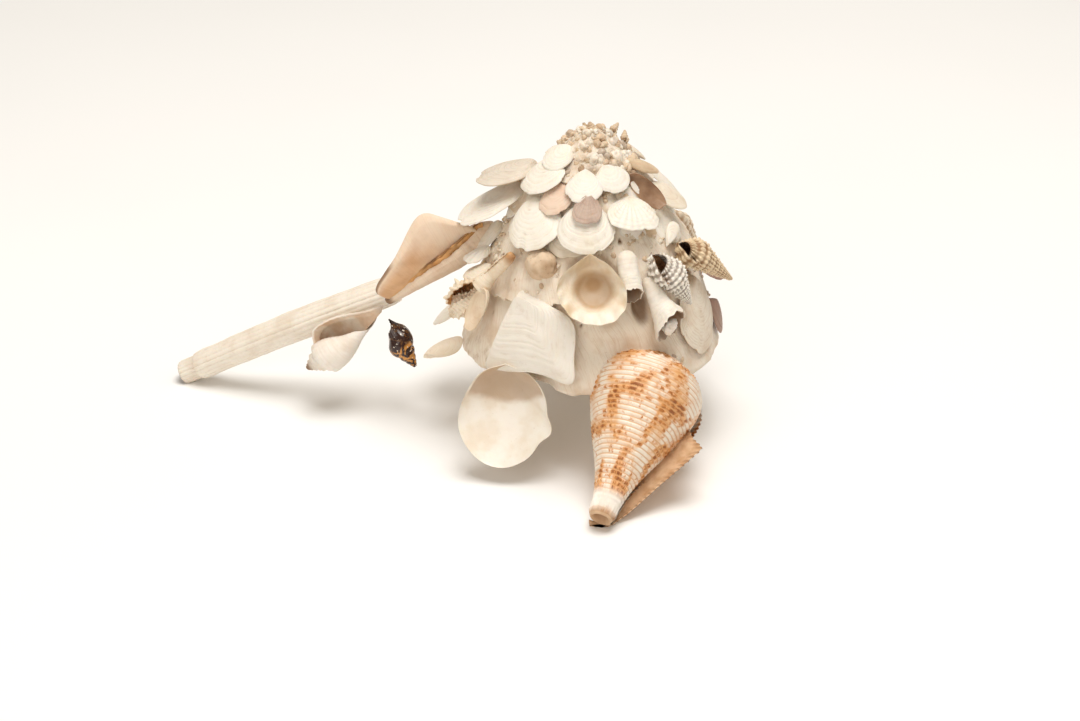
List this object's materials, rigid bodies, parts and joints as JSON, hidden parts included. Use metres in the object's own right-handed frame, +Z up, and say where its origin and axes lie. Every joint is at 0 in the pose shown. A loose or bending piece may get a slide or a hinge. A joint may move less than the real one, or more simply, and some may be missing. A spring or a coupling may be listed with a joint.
{
  "type": "carrier shell",
  "caption": "Conical sea snail shell that carries other shells: fan-like valves, a spotted fig shell, a ribbed tusk shell and turret shells cemented all round it.",
  "frame": {"origin": "middle of the bounding box, on the surface that the specimen rests on", "axes": "+X to the right side of the picture, away from the arm of long shells; +Y to the back; +Z up along the host shell's spire"},
  "size_m": [0.1589, 0.118, 0.09],
  "materials": {
    "host_shell": "natural seashell, matt to satin",
    "fig_shell": "natural seashell, matt to satin",
    "round_valve": "natural seashell, matt to satin",
    "facet_valve": "natural seashell, matt to satin",
    "cockle_valve": "natural seashell, matt to satin",
    "pebble": "natural seashell, matt to satin",
    "long_canal_shell": "natural seashell, matt to satin",
    "pointed_chip": "natural seashell, matt to satin",
    "left_pale_valve": "natural seashell, matt to satin",
    "left_small_valve_1": "natural seashell, matt to satin",
    "left_small_valve_2": "natural seashell, matt to satin",
    "finger_tube": "natural seashell, matt to satin",
    "horn_tube": "natural seashell, matt to satin",
    "grey_snail": "natural seashell, matt to satin",
    "beaded_auger": "natural seashell, matt to satin",
    "thin_shard": "natural seashell, matt to satin",
    "side_valve": "natural seashell, matt to satin",
    "purple_valve": "natural seashell, matt to satin",
    "ledge_valve": "natural seashell, matt to satin",
    "front_tile": "natural seashell, matt to satin",
    "front_left_tile": "natural seashell, matt to satin",
    "front_right_tile": "natural seashell, matt to satin",
    "left_lower_tile": "natural seashell, matt to satin",
    "left_upper_tile": "natural seashell, matt to satin",
    "middle_tile": "natural seashell, matt to satin",
    "pink_tile": "natural seashell, matt to satin",
    "white_tile": "natural seashell, matt to satin",
    "ribbed_tile": "natural seashell, matt to satin",
    "right_white_tile": "natural seashell, matt to satin",
    "top_left_tile": "natural seashell, matt to satin",
    "dark_long_valve": "natural seashell, matt to satin",
    "small_long_valve": "natural seashell, matt to satin",
    "pale_right_tile": "natural seashell, matt to satin",
    "flared_conch": "natural seashell, matt to satin",
    "tusk_shell": "natural seashell, matt to satin",
    "small_conch": "natural seashell, matt to satin",
    "dark_snail": "natural seashell, matt to satin",
    "tip_snail": "natural seashell, matt to satin",
    "tip_grain_1": "natural seashell, matt to satin",
    "tip_grain_2": "natural seashell, matt to satin",
    "tip_grain_3": "natural seashell, matt to satin",
    "tip_grain_4": "natural seashell, matt to satin",
    "tip_grain_5": "natural seashell, matt to satin",
    "tip_grain_6": "natural seashell, matt to satin",
    "back_tile_1": "natural seashell, matt to satin",
    "back_tile_2": "natural seashell, matt to satin",
    "back_tile_3": "natural seashell, matt to satin",
    "back_tile_4": "natural seashell, matt to satin",
    "back_tile_5": "natural seashell, matt to satin",
    "high_tile_1": "natural seashell, matt to satin",
    "high_tile_2": "natural seashell, matt to satin",
    "back_cockle": "natural seashell, matt to satin",
    "back_snail": "natural seashell, matt to satin",
    "back_turret": "natural seashell, matt to satin",
    "back_auger": "natural seashell, matt to satin",
    "back_scallop": "natural seashell, matt to satin",
    "back_whelk": "natural seashell, matt to satin",
    "left_rim_valve": "natural seashell, matt to satin"
  },
  "bodies": {
    "root": {"host_shell": "host_shell", "fig_shell": "fig_shell", "round_valve": "round_valve", "facet_valve": "facet_valve", "cockle_valve": "cockle_valve", "pebble": "pebble", "long_canal_shell": "long_canal_shell", "pointed_chip": "pointed_chip", "left_pale_valve": "left_pale_valve", "left_small_valve_1": "left_small_valve_1", "left_small_valve_2": "left_small_valve_2", "finger_tube": "finger_tube", "horn_tube": "horn_tube", "grey_snail": "grey_snail", "beaded_auger": "beaded_auger", "thin_shard": "thin_shard", "side_valve": "side_valve", "purple_valve": "purple_valve", "ledge_valve": "ledge_valve", "front_tile": "front_tile", "front_left_tile": "front_left_tile", "front_right_tile": "front_right_tile", "left_lower_tile": "left_lower_tile", "left_upper_tile": "left_upper_tile", "middle_tile": "middle_tile", "pink_tile": "pink_tile", "white_tile": "white_tile", "ribbed_tile": "ribbed_tile", "right_white_tile": "right_white_tile", "top_left_tile": "top_left_tile", "dark_long_valve": "dark_long_valve", "small_long_valve": "small_long_valve", "pale_right_tile": "pale_right_tile", "flared_conch": "flared_conch", "tusk_shell": "tusk_shell", "small_conch": "small_conch", "dark_snail": "dark_snail", "tip_snail": "tip_snail", "tip_grain_1": "tip_grain_1", "tip_grain_2": "tip_grain_2", "tip_grain_3": "tip_grain_3", "tip_grain_4": "tip_grain_4", "tip_grain_5": "tip_grain_5", "tip_grain_6": "tip_grain_6", "back_tile_1": "back_tile_1", "back_tile_2": "back_tile_2", "back_tile_3": "back_tile_3", "back_tile_4": "back_tile_4", "back_tile_5": "back_tile_5", "high_tile_1": "high_tile_1", "high_tile_2": "high_tile_2", "back_cockle": "back_cockle", "back_snail": "back_snail", "back_turret": "back_turret", "back_auger": "back_auger", "back_scallop": "back_scallop", "back_whelk": "back_whelk", "left_rim_valve": "left_rim_valve"}
  },
  "joints": []
}
